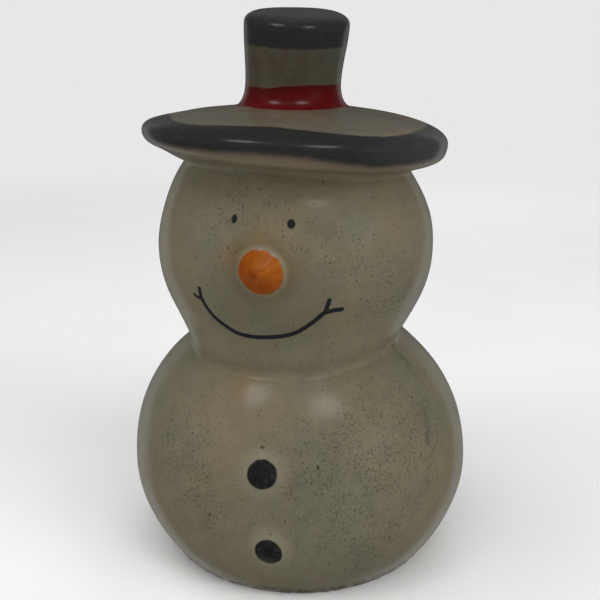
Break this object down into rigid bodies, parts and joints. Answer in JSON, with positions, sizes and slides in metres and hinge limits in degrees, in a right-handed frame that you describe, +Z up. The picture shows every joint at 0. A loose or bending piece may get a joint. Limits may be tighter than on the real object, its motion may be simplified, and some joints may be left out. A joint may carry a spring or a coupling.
{
  "type": "carved soapstone snowman figurine",
  "caption": "Small polished soapstone snowman carved in one piece, with a brimmed hat, painted face, nose and buttons; stands on its flat base.",
  "frame": {"origin": "centre of the flat base, on the surface it stands on", "axes": "+Z up through the body; -Y is the way the buttons and face look; +X is to the right as seen from the front"},
  "size_m": [0.0784, 0.0793, 0.1208],
  "materials": {
    "stone": "polished, waxed soapstone, satin to semi-gloss, hand-painted in black, red and orange"
  },
  "bodies": {
    "root": {"snowman": "stone"}
  },
  "joints": []
}
